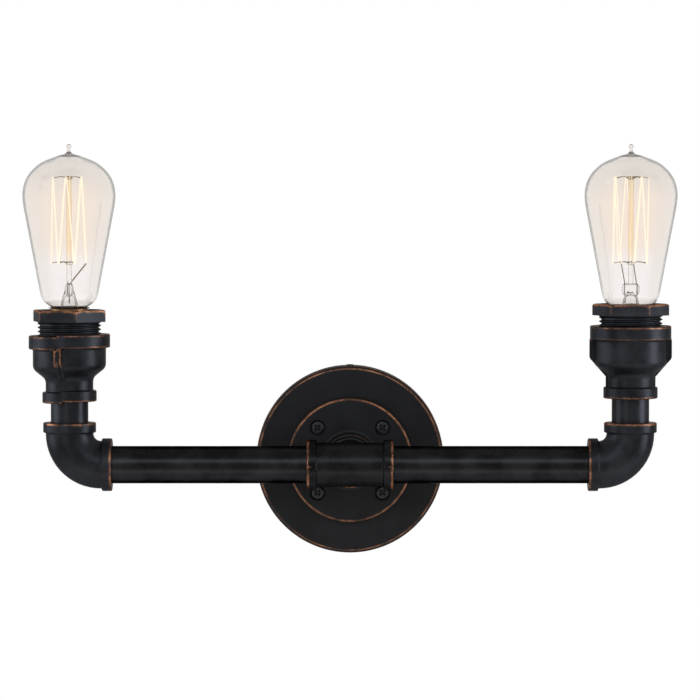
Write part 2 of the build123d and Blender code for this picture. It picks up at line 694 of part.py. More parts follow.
def lamp_insulator(arm):
    """The dark glass cone between the tip and the screw base."""
    low = BASE_CONTACT_HEIGHT + ROLLING_GAP
    high = BASE_THREAD_START
    hole = BASE_STUD_OD / 2 + ROLLING_GAP
    outer = BASE_FOOT_BORE / 2 - ROLLING_GAP
    cone = turned(
        (hole, low, 0), (BASE_CONTACT_OD / 2 + 0.6, low, 0), (outer, high, 0),
        (outer, high + 2 * BASE_WALL, 0), (hole, high + 2 * BASE_WALL, 0),
    )
    return lamp_place(arm) * cone


def lamp_base(arm):
    """The rolled screw base, turned in at its foot and flared at its rim."""
    start, end = BASE_THREAD_START, BASE_COLLAR_START
    core, foot = BASE_MINOR / 2, BASE_FOOT_BORE / 2
    mouth = GLASS_NECK_OD / 2 + ROLLING_GAP
    cup = turned(
        (foot, start, 0), (core, start, 0), (core, end, 0), (BASE_MAJOR / 2, end, 0),
        (BASE_MAJOR / 2, BASE_TOP - 2 * BASE_WALL, 0), (BASE_RIM_OD / 2, BASE_TOP - BASE_WALL, 0),
        (BASE_RIM_OD / 2, BASE_TOP, 0), (mouth, BASE_TOP, 0), (mouth, end + BASE_WALL, 0),
        (core - BASE_WALL, end + BASE_WALL, 0), (core - BASE_WALL, start + BASE_WALL, 0),
        (foot, start + BASE_WALL, 0),
    )
    section = round_ridge(core, BASE_MAJOR / 2, BASE_RIDGE, 0)
    cup += ridge(section, BASE_PITCH, start + BASE_RIDGE, end - BASE_RIDGE / 2)
    return lamp_place(arm) * cup


def glass_edges(inset):
    """The lamp's outline from neck to crown, moved in by the inset: curves in (radius, height)."""
    neck = (GLASS_NECK_OD / 2 - inset, BASE_TOP)
    flare = (GLASS_FOOT_OD - GLASS_NECK_OD) / 2
    knee = (neck[0] + 0.7 * flare, BASE_TOP + 0.4 * (GLASS_FOOT - BASE_TOP))
    foot = (GLASS_FOOT_OD / 2 - inset, GLASS_FOOT)
    waist = (GLASS_WAIST_OD / 2 - inset, GLASS_WAIST)
    slope = (waist[0] - foot[0], waist[1] - foot[1])
    widest = (GLASS_MAX_OD / 2 - inset, GLASS_MAX)
    shoulder = (GLASS_SHOULDER_OD / 2 - 0.8 * inset, GLASS_SHOULDER - 0.6 * inset)
    crown = (GLASS_CROWN_OD / 2 - 0.5 * inset, GLASS_CROWN - 0.8 * inset)
    top = (TIP_FLARE_OD / 2, TIP_FLARE - inset)
    lower = Spline(neck, knee, foot, tangents=[(1, 0.9), slope])
    side = Line(foot, waist)
    dome = Spline(waist, widest, shoulder, crown, top, tangents=[slope, (-1, 0.36)])
    return lower, side, dome


def lamp_glass(arm):
    """The clear envelope: a thin blown shell with the drawn tip on its crown."""
    outer, inner = glass_edges(0), glass_edges(GLASS_WALL)
    foot_height = BASE_COLLAR_START + BASE_WALL + ROLLING_GAP
    ball = TIP_BALL_OD / 2
    ball_low = LAMP_LENGTH - ball - sqrt(ball**2 - (TIP_NECK_OD / 2) ** 2)
    tip = Spline(outer[2] @ 1, (TIP_NECK_OD / 2, TIP_NECK), tangents=[(-1, 0.5), (-0.05, 1)])
    drawn = Line(tip @ 1, (TIP_NECK_OD / 2, ball_low))
    bead = ThreePointArc(drawn @ 1, (ball, LAMP_LENGTH - ball), (0, LAMP_LENGTH))
    axis = Line(bead @ 1, (0, TIP_FLARE - GLASS_WALL))
    roof = Line(axis @ 1, inner[2] @ 1)
    neck_in = Line(inner[0] @ 0, (inner[0] @ 0) - (0, BASE_TOP - foot_height))
    lip = Line(neck_in @ 1, (GLASS_NECK_OD / 2, foot_height))
    neck_out = Line(lip @ 1, outer[0] @ 0)
    section = make_face([*outer, tip, drawn, bead, axis, roof, *inner, neck_in, lip, neck_out])
    return lamp_place(arm) * revolve(Plane.XZ * section, Axis.Z)


def stem_hollow():
    """The space in the flared tube of a lamp's mount, from its open foot to just under the pinch."""
    inside = STEM_FLARE_OD / 2 - STEM_WALL
    start = (inside, BASE_COLLAR_START)
    middle = (0.4 * STEM_FLARE_OD - STEM_WALL, (BASE_TOP + STEM_PINCH) / 2)
    side = Polyline((0, BASE_COLLAR_START), start, (inside, BASE_TOP))
    dome = Spline(side @ 1, middle, (0, STEM_PINCH - STEM_ROD_OD), tangents=[(0, 1), (-1, 0)])
    axis = Line(dome @ 1, side @ 0)
    return revolve(Plane.XZ * make_face([*side.edges(), dome, axis]), Axis.Z)


def lamp_stem(arm):
    """The glass mount: a flare sealed in the neck, its press, and a rod with a bead at each cage ring."""
    foot = BASE_COLLAR_START + BASE_WALL + 2 * ROLLING_GAP
    seal = GLASS_NECK_OD / 2 - GLASS_WALL - ROLLING_GAP
    bead = STEM_BEAD_OD / 2
    middle = (0.4 * STEM_FLARE_OD, (BASE_TOP + STEM_PINCH) / 2)
    pinch = (STEM_PINCH_OD / 2, STEM_PINCH)
    rim = Polyline((0, foot), (seal, foot), (seal, foot + STEM_SEAL))
    skirt = Spline(rim @ 1, (STEM_FLARE_OD / 2, BASE_TOP), tangents=[(-1, 0.1), (0, 1)])
    flare = Spline(skirt @ 1, middle, pinch, tangents=[(0, 1), (-0.2, 1)])
    shoulder = Spline(flare @ 1, (STEM_ROD_OD / 2, STEM_PRESS_TOP), tangents=[(-0.2, 1), (0, 1)])
    rod_side = Line(shoulder @ 1, (STEM_ROD_OD / 2, CAGE_HIGH))
    axis = Polyline(rod_side @ 1, (0, CAGE_HIGH), rim @ 0)
    outline = [*rim.edges(), skirt, flare, shoulder, rod_side, *axis.edges()]
    press = Box(STEM_PINCH_OD, STEM_PRESS_WIDTH, STEM_PRESS_HEIGHT)
    press = Pos(0, 0, STEM_PRESS_TOP - STEM_PRESS_HEIGHT / 2) * fillet(press.edges(), STEM_PRESS_ROUND)
    stem = revolve(Plane.XZ * make_face(outline), Axis.Z) + press - stem_hollow()
    for height in (CAGE_LOW, CAGE_HIGH):
        stem += Pos(0, 0, height) * turned(
            (0, -bead / 2, 0), (bead, -bead / 2, 0.4 * bead), (bead, bead / 2, 0.4 * bead), (0, bead / 2, 0)
        )
    return lamp_place(arm) * Rot(0, 0, arm.lamp_turn) * (stem - support_wires() - lead_wires())


def cage_angle(step, high):
    """Angle of a corner of the filament's zigzag: high corners stand half a step on from the low ones."""
    pitch = (360 - CAGE_GAP) / CAGE_LOOPS
    return radians(CAGE_GAP / 2 + pitch * (step + (0.5 if high else 0)))


def around(radius, angle, height):
    return (radius * cos(angle), radius * sin(angle), height)


def support_wires():
    """The wire spokes from the rod's beads to the zigzag's corners, without those that the leads hold."""
    reach = CAGE_OD / 2 - FILAMENT_OD / 2 - SUPPORT_OD / 2 - 0.05
    spokes = None
    for high in (True, False):
        steps = range(CAGE_LOOPS) if high else range(1, CAGE_LOOPS)
        bead = CAGE_HIGH if high else CAGE_LOW
        for step in steps:
            angle = cage_angle(step, high)
            root = around(STEM_ROD_OD / 4, angle, bead)
            arch = around(reach / 2, angle, bead + SUPPORT_RISE)
            wire = swept(SUPPORT_OD, [root, arch, around(reach, angle, bead)], [reach])
            spokes = wire if spokes is None else spokes + wire
    return spokes


def lead_wires():
    """The two leads from the ends of the press out to the ends of the filament."""
    reach = CAGE_OD / 2
    end_height = CAGE_LOW - FILAMENT_OD
    leads = None
    for step, side in ((0, 1), (CAGE_LOOPS, -1)):
        angle = cage_angle(step, False)
        foot = (0, side * LEAD_SPREAD / 2, BASE_TOP + STEM_ROD_OD)
        bend = (0, side * LEAD_SPREAD / 2, STEM_PRESS_TOP - LEAD_OD)
        wire = swept(LEAD_OD, [foot, bend, around(reach, angle, end_height)], [2 * LEAD_OD])
        leads = wire if leads is None else leads + wire
    return leads


def lamp_supports(arm):
    return lamp_place(arm) * Rot(0, 0, arm.lamp_turn) * support_wires()


def lamp_leads(arm):
    return lamp_place(arm) * Rot(0, 0, arm.lamp_turn) * lead_wires()


def cage_overshoot():
    """How far the zigzag's sharp corners would stand beyond its bends, which reach the support wires."""
    half = CAGE_OD / 2 * sin(cage_angle(1, False) / 2 - cage_angle(0, False) / 2)
    straight = CAGE_HIGH - CAGE_LOW + 2 * SUPPORT_OD - 2 * FILAMENT_BEND
    lean = acos(2 * FILAMENT_BEND / hypot(half, straight)) - atan2(straight, half)
    return FILAMENT_BEND * (1 / sin(lean) - 1)


def lamp_filament(arm):
    """One unbroken wire, up and down round the cage from lead to lead."""
    reach = CAGE_OD / 2
    lift = LEAD_OD / 2
    beyond = SUPPORT_OD + cage_overshoot()
    points = []
    for step in range(CAGE_LOOPS):
        low = CAGE_LOW + (lift if step == 0 else -beyond)
        points.append(around(reach, cage_angle(step, False), low))
        points.append(around(reach, cage_angle(step, True), CAGE_HIGH + beyond))
    points.append(around(reach, cage_angle(CAGE_LOOPS, False), CAGE_LOW + lift))
    wire = swept(FILAMENT_OD, points, [FILAMENT_BEND] * (len(points) - 2))
    return lamp_place(arm) * Rot(0, 0, arm.lamp_turn) * wire


def wire_end():
    """Height at which both wires meet the lamp holder's rivets."""
    return SOCKET_CUP_FLOOR - SOCKET_WEB - RIVET_TAIL


def wire_run(arm, height, out, turn_out, connector_side):
    """The shared run of a wire: along the arm, back through the tee and across to its connector."""
    near = arm.side * WIRE_PAIR
    across = connector_side * (CONNECTOR_FROM + CONNECTOR_ENTRY)
    return [
        (arm.side * ARM_SPAN / 2, -out, height), (near, -out, height), (near, -turn_out, height),
        (across, -turn_out, height),
    ]


def hot_wire(arm):
    """The live lead of one lamp holder, from its centre contact to the connector on the right."""
    out = AXIS_OUT + WIRE_SPREAD
    turn_out = CONNECTOR_OUT + (CONNECTOR_STEP / 2 if arm.side > 0 else -CONNECTOR_STEP / 2)
    run = wire_run(arm, WIRE_PAIR, out, turn_out, 1)
    start = (run[0][0], -out, wire_end())
    return swept(WIRE_OD, [start, *run], [ELBOW_BEND - WIRE_PAIR, WIRE_TEE_BEND, WIRE_PLATE_BEND])


def neutral_wire(arm):
    """The neutral lead, from the screw shell's rivet to the connector on the left."""
    out = AXIS_OUT - WIRE_SPREAD
    turn_out = CONNECTOR_OUT + (CONNECTOR_STEP / 2 if arm.side < 0 else -CONNECTOR_STEP / 2)
    run = wire_run(arm, -WIRE_PAIR, out, turn_out, -1)
    x = run[0][0]
    level = SOCKET_BASE + SOCKET_BOSS + 0.6 * WIRE_OD
    rivet = -AXIS_OUT + RIVET_OFFSET
    head = [(x, rivet, wire_end()), (x, rivet, level), (x, -out, level)]
    bends = [0.9 * WIRE_OD, 0.9 * WIRE_OD, ELBOW_BEND - WIRE_PAIR, WIRE_TEE_BEND, WIRE_PLATE_BEND]
    return swept(WIRE_OD, [*head, *run], bends)


def connector(bore):
    """A screw-on wire connector, open at Z = 0."""
    mouth, end = CONNECTOR_OD / 2, CONNECTOR_END_OD / 2
    skirt = 0.25 * CONNECTOR_LENGTH
    cap = turned(
        (0, 0, 0), (mouth, 0, 0.1 * mouth), (mouth, skirt, 0.1 * mouth),
        (end, CONNECTOR_LENGTH, 0.4 * end), (0, CONNECTOR_LENGTH, 0),
    )
    return cap - rod(bore, -1, CONNECTOR_LENGTH - (CONNECTOR_OD - CONNECTOR_BORE))


def wire_connectors():
    """The live one on the right, the neutral one on the left and the ground one below it."""
    ground_bore = GROUND_WIRE_OD + 2 * CONNECTOR_GRIP
    return [
        Pos(CONNECTOR_FROM, -CONNECTOR_OUT, WIRE_PAIR) * Rot(0, 90, 0) * connector(CONNECTOR_BORE),
        Pos(-CONNECTOR_FROM, -CONNECTOR_OUT, -WIRE_PAIR) * Rot(0, -90, 0) * connector(CONNECTOR_BORE),
        Pos(CONNECTOR_FROM, -GROUND_OUT, -GROUND_SCREW_DROP) * Rot(0, 90, 0) * connector(ground_bore),
    ]


def ground_wire():
    """The bare copper wire from the strap's ground screw to its connector."""
    low = STRAP_THICK + GROUND_WIRE_OD / 2 + 0.3
    start = GROUND_SCREW_HEAD / sqrt(3)
    span = CONNECTOR_FROM - start
    points = [
        (start, -low, -GROUND_SCREW_DROP), (start + 0.35 * span, -low, -GROUND_SCREW_DROP),
        (start + 0.85 * span, -GROUND_OUT, -GROUND_SCREW_DROP),
        (CONNECTOR_FROM + CONNECTOR_ENTRY, -GROUND_OUT, -GROUND_SCREW_DROP),
    ]
    return swept(GROUND_WIRE_OD, points, [2.5 * GROUND_WIRE_OD, 2.5 * GROUND_WIRE_OD])


SHARED = {
    "canopy": canopy,
    "mounting_strap": mounting_strap,
    "canopy_side_screws": side_screws,
    "ground_screw": ground_screw,
    "ground_wire": ground_wire,
    "wire_connectors": wire_connectors,
    "floor_flange": floor_flange,
    "flange_screws": flange_screws,
    "flange_nuts": flange_nuts,
    "close_nipple": close_nipple,
    "tee": tee,
}

PER_ARM = {
    "arm_pipe": arm_pipe,
    "elbow": elbow,
    "riser": riser,
    "reducer": reducer,
    "bushing": bushing,
    "socket_bracket": socket_bracket,
    "lamp_pipe": lamp_pipe,
    "lamp_pipe_nut": lamp_pipe_nut,
    "socket_body": socket_body,
    "socket_shell": socket_shell,
    "socket_contact": socket_contact,
    "hot_wire": hot_wire,
    "neutral_wire": neutral_wire,
    "lamp_contact": lamp_contact,
    "lamp_insulator": lamp_insulator,
    "lamp_base": lamp_base,
    "lamp_glass": lamp_glass,
    "lamp_stem": lamp_stem,
    "lamp_supports": lamp_supports,
    "lamp_leads": lamp_leads,
    "lamp_filament": lamp_filament,
}


def write(name, made):
    """Writes one node; a list is a group of separate solids."""
    shape = Compound(children=[Part(piece.wrapped) for piece in made]) if isinstance(made, list) else made
    export_step(shape, os.path.join("parts", name + ".step"))


def main():
    os.makedirs("parts", exist_ok=True)
    for name, make in SHARED.items():
        write(name, make())
    for arm in ARMS:
        for name, make in PER_ARM.items():
            write(f"{arm.name}_{name}", make(arm))


main()
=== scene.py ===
"""Dresses the two-lamp vanity light of dark bronze pipe fittings, and sets it on its stage."""

import json
import math

import bpy
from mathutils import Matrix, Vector

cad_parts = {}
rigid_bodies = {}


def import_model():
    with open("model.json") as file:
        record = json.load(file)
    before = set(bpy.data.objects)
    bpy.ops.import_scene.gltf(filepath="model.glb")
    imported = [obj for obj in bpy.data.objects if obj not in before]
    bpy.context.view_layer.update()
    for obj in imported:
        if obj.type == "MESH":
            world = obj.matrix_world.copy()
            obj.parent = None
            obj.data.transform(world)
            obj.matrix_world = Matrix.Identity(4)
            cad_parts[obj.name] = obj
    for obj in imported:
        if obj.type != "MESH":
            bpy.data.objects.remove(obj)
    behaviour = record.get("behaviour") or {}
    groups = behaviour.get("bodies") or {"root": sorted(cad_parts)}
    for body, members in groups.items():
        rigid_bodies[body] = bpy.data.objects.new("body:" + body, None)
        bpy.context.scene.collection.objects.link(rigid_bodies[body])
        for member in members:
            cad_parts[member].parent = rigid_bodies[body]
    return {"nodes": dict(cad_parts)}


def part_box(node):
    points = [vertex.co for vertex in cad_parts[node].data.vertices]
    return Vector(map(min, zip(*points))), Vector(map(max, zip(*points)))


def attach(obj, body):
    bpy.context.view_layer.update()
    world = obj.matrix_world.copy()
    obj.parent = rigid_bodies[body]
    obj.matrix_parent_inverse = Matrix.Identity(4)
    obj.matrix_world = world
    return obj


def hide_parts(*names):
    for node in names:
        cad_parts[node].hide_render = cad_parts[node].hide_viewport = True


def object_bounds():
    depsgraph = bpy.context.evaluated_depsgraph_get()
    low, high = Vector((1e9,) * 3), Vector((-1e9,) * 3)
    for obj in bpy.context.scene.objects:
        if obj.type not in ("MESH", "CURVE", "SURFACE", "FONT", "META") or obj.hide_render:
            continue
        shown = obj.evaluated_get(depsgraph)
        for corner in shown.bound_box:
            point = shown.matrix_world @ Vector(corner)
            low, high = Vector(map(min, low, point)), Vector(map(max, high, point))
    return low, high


bl_info = {
    "name": "Pipe-Fitting Vanity Light",
    "version": (1, 0, 0),
    "blender": (4, 5, 0),
    "location": "3D View > Sidebar > Vanity Light",
    "description": "Finishes the wall light's fittings, lamps and wiring, and lights it for a picture",
    "category": "Object",
}

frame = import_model()
NODES = frame["nodes"]
CAD_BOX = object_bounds()
SIDES = ("left", "right")
MM = 0.001
FILAMENT_WIRE = 0.4 * MM
HUB_RADIUS = 19.3 * MM
MASK_BLUR = 0.2 * MM
SHELTER_SAMPLES = 12


def both(*names):
    """The node names of both arms for these pieces."""
    return [f"{side}_{name}" for side in SIDES for name in names]


def middle_of(node):
    """The middle of a node's box."""
    low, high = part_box(node)
    return (low + high) / 2


class PatinaSettings(bpy.types.PropertyGroup):
    """The dark bronze finish of the metalwork and the copper that shows through it."""

    casting: bpy.props.FloatVectorProperty(
        name="Casting", description="Colour of the dark coat on the cast fittings",
        subtype="COLOR", min=0, max=1, default=(0.0180, 0.0186, 0.0215),
    )
    pipe: bpy.props.FloatVectorProperty(
        name="Pipe", description="Colour of the dark coat on pipes, tee and wall plate",
        subtype="COLOR", min=0, max=1, default=(0.0180, 0.0180, 0.0192),
    )
    copper: bpy.props.FloatVectorProperty(
        name="Copper", description="Colour of the metal that wear lays bare",
        subtype="COLOR", min=0, max=1, default=(0.25, 0.115, 0.064),
    )
    reach: bpy.props.FloatProperty(
        name="Wear Reach", description="How far from an edge the coat is rubbed",
        subtype="DISTANCE", unit="LENGTH", min=0, default=1.4 * MM,
    )
    round_off: bpy.props.FloatProperty(
        name="Edge Rounding", description="How far the coat rounds off an edge",
        subtype="DISTANCE", unit="LENGTH", min=0, default=0.6 * MM,
    )
    grain: bpy.props.FloatProperty(
        name="Casting Grain", description="Height of the sand-cast grain",
        subtype="DISTANCE", unit="LENGTH", min=0, default=0.10 * MM,
    )


class LampSettings(bpy.types.PropertyGroup):
    """The filament lamps."""

    foot: bpy.props.FloatVectorProperty(
        name="Glass at the Foot", description="Tint of the blown glass near its base",
        subtype="COLOR", min=0, max=1, default=(0.985, 0.965, 0.96),
    )
    # Painted glow: the filament's light, painted into the glass's colour as a peach tint round the filament.
    painted_filament_glow: bpy.props.FloatVectorProperty(
        name="Glass round the Filament", description="Tint of the blown glass where the filament gilds it",
        subtype="COLOR", min=0, max=1, default=(0.978, 0.912, 0.855),
    )
    crown: bpy.props.FloatVectorProperty(
        name="Glass at the Crown", description="Tint of the blown glass on its smoked crown",
        subtype="COLOR", min=0, max=1, default=(0.895, 0.866, 0.83),
    )
    # Painted shade: the dark colour painted on the glass where the eye looks along its wall.
    edge: bpy.props.FloatVectorProperty(
        name="Glass Edge", description="Tint of the blown glass where the eye looks along its wall",
        subtype="COLOR", min=0, max=1, default=(0.08, 0.075, 0.07),
    )
    glow: bpy.props.FloatVectorProperty(
        name="Glow", description="Colour of the lit filament",
        subtype="COLOR", min=0, max=1, default=(1.0, 0.93, 0.81),
    )
    strength: bpy.props.FloatProperty(
        name="Glow Strength", description="Brightness of the lit filament", min=0, default=1.15,
    )
    strand: bpy.props.FloatProperty(
        name="Filament Width", description="Width of the filament's fine coil",
        subtype="DISTANCE", unit="LENGTH", min=0, default=0.75 * MM,
    )


class StageSettings(bpy.types.PropertyGroup):
    """Camera, lights and floor."""

    distance: bpy.props.FloatProperty(
        name="Camera Distance", description="From the level pipe to the camera",
        subtype="DISTANCE", unit="LENGTH", min=0.1, default=3.0,
    )
    elevation: bpy.props.FloatProperty(
        name="Camera Elevation", description="How far the camera looks down",
        subtype="ANGLE", unit="ROTATION", default=math.radians(2.6),
    )
    width: bpy.props.FloatProperty(
        name="View Width", description="What the picture takes in across, at the level pipe",
        subtype="DISTANCE", unit="LENGTH", min=0.01, default=497.7 * MM,
    )
    aim: bpy.props.FloatProperty(
        name="Aim Height", description="Height above the level pipe that the camera looks at",
        subtype="DISTANCE", unit="LENGTH", default=81.7 * MM,
    )
    sky: bpy.props.FloatProperty(
        name="Room Light", description="Even light from all round", min=0, default=0.55,
    )
    softbox: bpy.props.FloatProperty(
        name="Softbox Light", description="Radiance of the soft lamps, where white paper is about 1",
        min=0, default=3.0,
    )
    drop: bpy.props.FloatProperty(
        name="Floor Drop", description="From the fixture's lowest point down to the floor",
        subtype="DISTANCE", unit="LENGTH", min=0, default=0.5,
    )


def settings(name):
    return getattr(bpy.context.scene, f"vanity_{name}")


class Net:
    """A node tree with short ways to place nodes and join sockets."""

    def __init__(self, tree):
        self.tree = tree

    def put(self, socket, value):
        """Joins an output to this input, or sets it."""
        if isinstance(value, bpy.types.NodeSocket):
            self.tree.links.new(value, socket)
        else:
            socket.default_value = value

    def add(self, kind, inputs=None, **values):
        """Places a node, sets its own values, and joins or sets its inputs by name or number."""
        node = self.tree.nodes.new(kind)
        for name, value in values.items():
            setattr(node, name, value)
        for socket, value in (inputs or {}).items():
            self.put(node.inputs[socket], value)
        return node

    def place(self, group, **inputs):
        """Places a node group with its own values; underscores stand for spaces."""
        node = self.add("ShaderNodeGroup", node_tree=group)
        for name, value in inputs.items():
            self.put(node.inputs[name.replace("_", " ")], value)
        return node.outputs

    def math(self, operation, *values):
        return self.add("ShaderNodeMath", dict(enumerate(values)), operation=operation).outputs[0]

    def mix(self, factor, first, second):
        """Mixes two colours."""
        node = self.add("ShaderNodeMix", data_type="RGBA")
        for name, value in {"Factor": factor, "A": first, "B": second}.items():
            self.put(next(s for s in node.inputs if s.name == name and s.enabled), value)
        return next(s for s in node.outputs if s.enabled)

    def spot(self):
        """Where on the object a point is, as the object is at rest."""
        return self.add("ShaderNodeTexCoord").outputs["Object"]

    def axes(self):
        return self.add("ShaderNodeSeparateXYZ", {"Vector": self.spot()}).outputs

    def noise(self, scale, detail=3.0, roughness=0.55):
        inputs = {"Vector": self.spot(), "Scale": scale, "Detail": detail, "Roughness": roughness}
        return self.add("ShaderNodeTexNoise", inputs).outputs["Fac"]

    def span(self, value, low, high, out_low=0.0, out_high=1.0):
        """Maps a range of values to another, smoothly and held at its ends."""
        inputs = {"Value": value, "From Min": low, "From Max": high, "To Min": out_low, "To Max": out_high}
        return self.add("ShaderNodeMapRange", inputs, interpolation_type="SMOOTHSTEP").outputs["Result"]

    def bump(self, height, distance, round_off=0.0):
        """The surface's normal with this height on it, over edges that are rounded off if that is given."""
        node = self.add("ShaderNodeBump", {"Height": height, "Distance": distance})
        if round_off:
            bevel = self.add("ShaderNodeBevel", {"Radius": round_off}, samples=4)
            self.put(node.inputs["Normal"], bevel.outputs["Normal"])
        return node.outputs["Normal"]


def rgba(colour, level=1.0):
    return (*[level * c for c in colour[:3]], 1.0)


def shared_group(name, inputs, outputs, build):
    """A shader node group of values, built once: inputs are names with defaults, outputs are names."""
    if name in bpy.data.node_groups:
        return bpy.data.node_groups[name]
    tree = bpy.data.node_groups.new(name, "ShaderNodeTree")
    for socket, default in inputs.items():
        made = tree.interface.new_socket(name=socket, in_out="INPUT", socket_type="NodeSocketFloat")
        made.default_value = default
    for socket in outputs:
        tree.interface.new_socket(name=socket, in_out="OUTPUT", socket_type="NodeSocketFloat")
    net = Net(tree)
    given = net.add("NodeGroupInput").outputs
    out = net.add("NodeGroupOutput").inputs
    for socket, value in build(net, given).items():
        net.put(out[socket], value)
    return tree


def rubbed_edges():
    """How far the dark coat is rubbed off: along outer edges, in patches."""

    def build(net, given):
        inside = net.add(
            "ShaderNodeAmbientOcclusion", {"Distance": given["Reach"]},
            inside=True, only_local=True, samples=SHELTER_SAMPLES,
        ).outputs["AO"]
        edge = net.span(inside, 0.98, 0.60)
        patches = net.span(net.noise(given["Patch Scale"], 4.0, 0.6), 0.36, 0.62, 0.40, 1.0)
        fine = net.span(net.noise(900.0, 2.0), 0.3, 0.7, 0.6, 1.0)
        rubbing = net.math("ADD", edge, given["Amount"])
        worn = net.math("MULTIPLY", rubbing, net.math("MULTIPLY", patches, fine))
        return {"Rubbed": net.span(worn, 0.12, 0.55)}

    inputs = {"Reach": 1.4 * MM, "Amount": 0.0, "Patch Scale": 60.0}
    return shared_group("Rubbed Edges", inputs, ["Rubbed"], build)


def sand_cast():
    """The grain of a sand casting, the slow unevenness under it, and the clouds of its coat."""

    def build(net, given):
        fine = net.noise(given["Fine Scale"], 3.0, 0.6)
        slow = net.noise(given["Slow Scale"], 2.0, 0.5)
        share = net.math("MULTIPLY", fine, given["Fine Share"])
        rest = net.math("MULTIPLY", slow, net.math("SUBTRACT", 1.0, given["Fine Share"]))
        return {"Height": net.math("ADD", share, rest), "Cloud": net.noise(45.0, 4.0, 0.6)}

    inputs = {"Fine Scale": 900.0, "Slow Scale": 160.0, "Fine Share": 0.45}
    return shared_group("Sand Cast", inputs, ["Height", "Cloud"], build)


def new_material(name):
    """A material with only its Principled shader, and the net to build on."""
    material = bpy.data.materials.new(name)
    material.use_nodes = True
    net = Net(material.node_tree)
    shader = next(n for n in net.tree.nodes if n.type == "BSDF_PRINCIPLED")
    return material, net, shader


def feed(net, shader, **sockets):
    """Joins or sets sockets of the shader; underscores stand for spaces."""
    for name, value in sockets.items():
        net.put(shader.inputs[name.replace("_", " ")], value)


def patina(
    name, dark, where=None, wear=0.0, reach=1.0, patches=55.0, grain=1.0, fine=800.0, gloss=0.36, metal=0.7,
    soft=1.0, rim=0.32, clouds=0.28,
):
    """Dark bronze: rubbed to copper at some of its edges, with the grain of its making.

    The places that can be rubbed, if there are any, come as a function from the material's net to a mask; on
    the wall plate and flange that mask also grades the copper by height as painted highlight.
    """
    chosen = settings("patina")
    material, net, shader = new_material(name)
    cast = net.place(sand_cast(), Fine_Scale=fine)
    colour = net.mix(net.span(cast["Cloud"], 0.35, 0.65), rgba(dark, 1 - clouds), rgba(dark, 1 + clouds))
    shine = metal
    if where:
        worn = net.place(rubbed_edges(), Reach=reach * chosen.reach, Amount=wear, Patch_Scale=patches)
        # Wear, and where the places come from rings, also painted highlight.
        rubbed = net.math("MULTIPLY", worn["Rubbed"], where(net))
        hollow, proud = rgba(chosen.copper, 0.55), rgba(chosen.copper, 1.15)
        bare = net.mix(net.span(cast["Height"], 0.4, 0.6), hollow, proud)
        colour = net.mix(rubbed, colour, bare)
        shine = net.span(rubbed, 0.0, 1.0, metal, 1.0)
    feed(
        net, shader,
        Base_Color=colour,
        Metallic=shine,
        Roughness=net.span(cast["Cloud"], 0.3, 0.7, gloss - 0.05, gloss + 0.07),
        IOR=1.25, Specular_Tint=rgba((rim, rim, rim)),
        Normal=net.bump(cast["Height"], grain * chosen.grain, soft * chosen.round_off),
    )
    return material


def plain_metal(name, colour, roughness):
    """Bare or plated metal with a fine uneven sheen."""
    material, net, shader = new_material(name)
    grain = net.noise(500.0)
    feed(
        net, shader,
        Base_Color=net.mix(grain, rgba(colour, 0.75), rgba(colour, 1.1)),
        Roughness=net.span(grain, 0.3, 0.7, roughness - 0.06, roughness + 0.08),
        Metallic=1.0,
        Normal=net.bump(grain, 0.03 * MM),
    )
    return material


def blackened(name, colour):
    """Blackened steel, with painted shade darkening it down in its recesses."""
    material, net, shader = new_material(name)
    # Painted shade: occlusion over a short reach darkens the colour in the screws' recesses.
    openness_for_painted_shade = net.add(
        "ShaderNodeAmbientOcclusion", {"Distance": 1.4 * MM}, only_local=True, samples=SHELTER_SAMPLES
    ).outputs["AO"]
    grain = net.noise(600.0)
    feed(
        net, shader,
        Base_Color=net.mix(net.span(openness_for_painted_shade, 0.45, 0.95), rgba(colour, 0.1), rgba(colour, 2.0)),
        Roughness=net.span(grain, 0.3, 0.7, 0.26, 0.36),
        Metallic=0.9,
        Normal=net.bump(grain, 0.02 * MM, 0.3 * MM),
    )
    return material


def moulded(name, colour, roughness):
    """Moulded, glazed or enamelled stuff: one colour, slightly clouded, with a skin."""
    material, net, shader = new_material(name)
    cloud = net.noise(60.0)
    feed(
        net, shader,
        Base_Color=net.mix(cloud, rgba(colour, 0.82), rgba(colour, 1.1)),
        Roughness=net.span(cloud, 0.3, 0.7, roughness - 0.04, roughness + 0.06),
        Normal=net.bump(net.noise(700.0, 2.0), 0.02 * MM),
    )
    return material


def dress(material, *nodes):
    """Gives CAD nodes this one material."""
    for name in nodes:
        mesh = NODES[name].data
        mesh.materials.clear()
        mesh.materials.append(material)


def within(net, value, low, high, soft=MASK_BLUR):
    """A mask that is 1 between two values, with soft ends."""
    rise = net.span(value, low - soft, low + soft)
    return net.math("MULTIPLY", rise, net.span(value, high - soft, high + soft, 1.0, 0.0))


def union(net, masks):
    """The strongest of several masks at each point."""
    total = masks[0]
    for mask in masks[1:]:
        total = net.math("MAXIMUM", total, mask)
    return total


def heights(*zones):
    """Where a coat can be rubbed: between these pairs of heights."""
    return lambda net: union(net, [within(net, net.axes()["Z"], *zone) for zone in zones])


def beyond(out):
    """Where a coat can be rubbed: further out than this to either side."""
    return lambda net: net.span(net.math("ABSOLUTE", net.axes()["X"]), out - MASK_BLUR, out + MASK_BLUR)


def rings(*bounds):
    """Where a coat can be rubbed: rings round the wall plate's axis, each with its inner and outer radius.

    Two more numbers are how much of the copper shows at the ring's top and at its foot: the copper is wear,
    and its grading from foot to top is painted highlight.
    """

    def mask(net):
        axes = net.axes()
        squares = net.math("ADD", net.math("POWER", axes["X"], 2.0), net.math("POWER", axes["Z"], 2.0))
        radius = net.math("SQRT", squares)
        masks = []
        for inner, outer, top, foot in bounds:
            ring = within(net, radius, inner, outer, 0.15 * MM)
            # Painted highlight: the worn copper is graded by height, as light from above would catch the
            # edge.
            masks.append(net.math("MULTIPLY", ring, net.span(axes["Z"], -outer, outer, foot, top)))
        return union(net, masks)

    return mask


